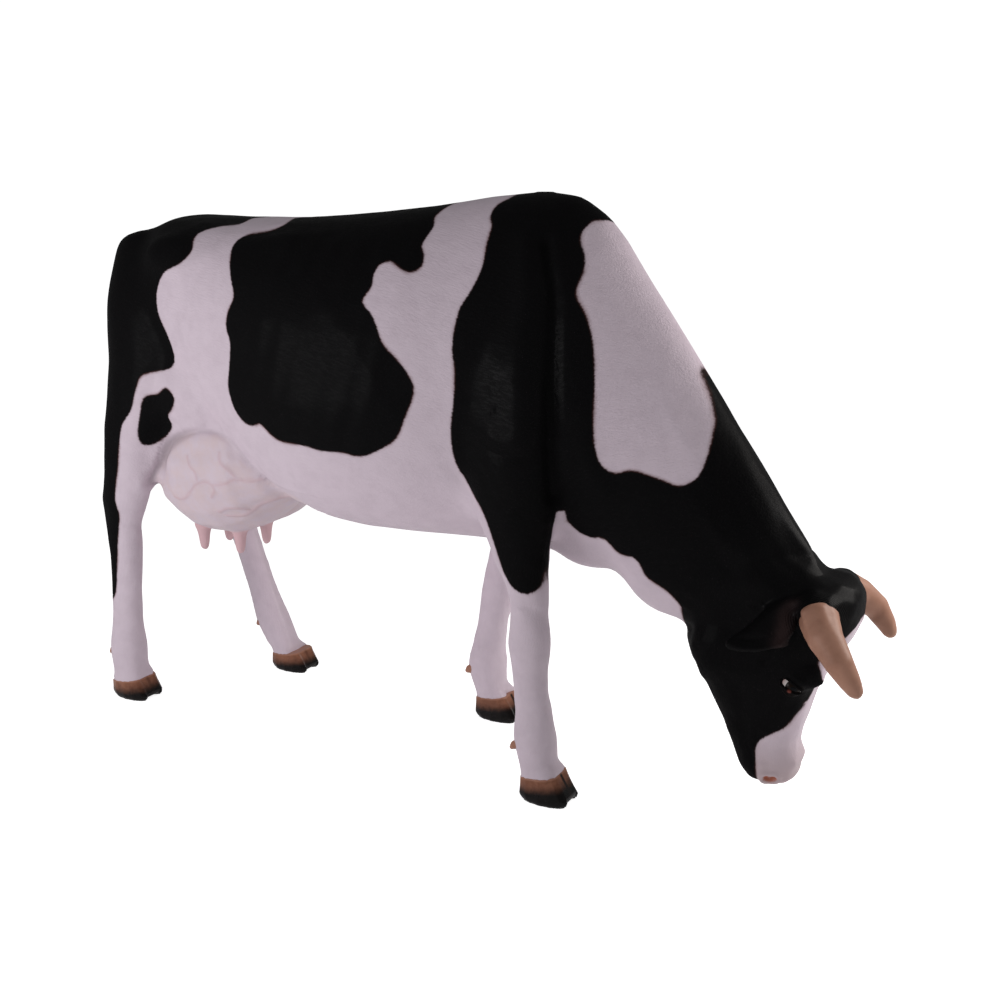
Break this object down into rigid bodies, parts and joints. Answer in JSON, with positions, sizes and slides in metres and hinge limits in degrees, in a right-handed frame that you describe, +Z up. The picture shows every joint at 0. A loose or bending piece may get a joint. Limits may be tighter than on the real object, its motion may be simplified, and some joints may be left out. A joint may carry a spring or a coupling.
{
  "type": "life-size cow statue",
  "caption": "Life-size moulded statue of a horned black and white dairy cow, standing with its head down to graze; it stands on its hooves on a level floor.",
  "frame": {"origin": "middle of the statue's bounding box at floor level, under the belly", "axes": "+X towards the head, +Y the cow's left, +Z up"},
  "size_m": [2.1626, 0.6244, 1.4079],
  "materials": {
    "painted_coat": "satin-gloss paint in black and white patches with soft edges over fine moulded hair strokes",
    "white_coat": "satin-gloss white paint over fine moulded hair strokes",
    "udder_pink": "smooth satin pinkish white paint over raised veins",
    "teat_pink": "smooth satin pink paint",
    "horn_tan": "smooth satin tan paint",
    "hoof_brown": "gloss paint, brown at the upper rim and black below",
    "eye_dark": "high gloss dark brown"
  },
  "bodies": {
    "root": {"dewclaw_front_left_inner": "hoof_brown", "dewclaw_front_left_outer": "hoof_brown", "dewclaw_front_right_inner": "hoof_brown", "dewclaw_front_right_outer": "hoof_brown", "dewclaw_hind_left_inner": "hoof_brown", "dewclaw_hind_left_outer": "hoof_brown", "dewclaw_hind_right_inner": "hoof_brown", "dewclaw_hind_right_outer": "hoof_brown", "ear_left": "painted_coat", "ear_right": "painted_coat", "eye_left": "eye_dark", "eye_right": "eye_dark", "head": "painted_coat", "hoof_front_left_inner": "hoof_brown", "hoof_front_left_outer": "hoof_brown", "hoof_front_right_inner": "hoof_brown", "hoof_front_right_outer": "hoof_brown", "hoof_hind_left_inner": "hoof_brown", "hoof_hind_left_outer": "hoof_brown", "hoof_hind_right_inner": "hoof_brown", "hoof_hind_right_outer": "hoof_brown", "horn_left": "horn_tan", "horn_right": "horn_tan", "leg_front_left": "white_coat", "leg_front_right": "white_coat", "leg_hind_left": "white_coat", "leg_hind_right": "white_coat", "neck": "painted_coat", "tail": "painted_coat", "teat_front_left": "teat_pink", "teat_front_right": "teat_pink", "teat_rear_left": "teat_pink", "teat_rear_right": "teat_pink", "trunk": "painted_coat", "udder": "udder_pink"}
  },
  "joints": []
}
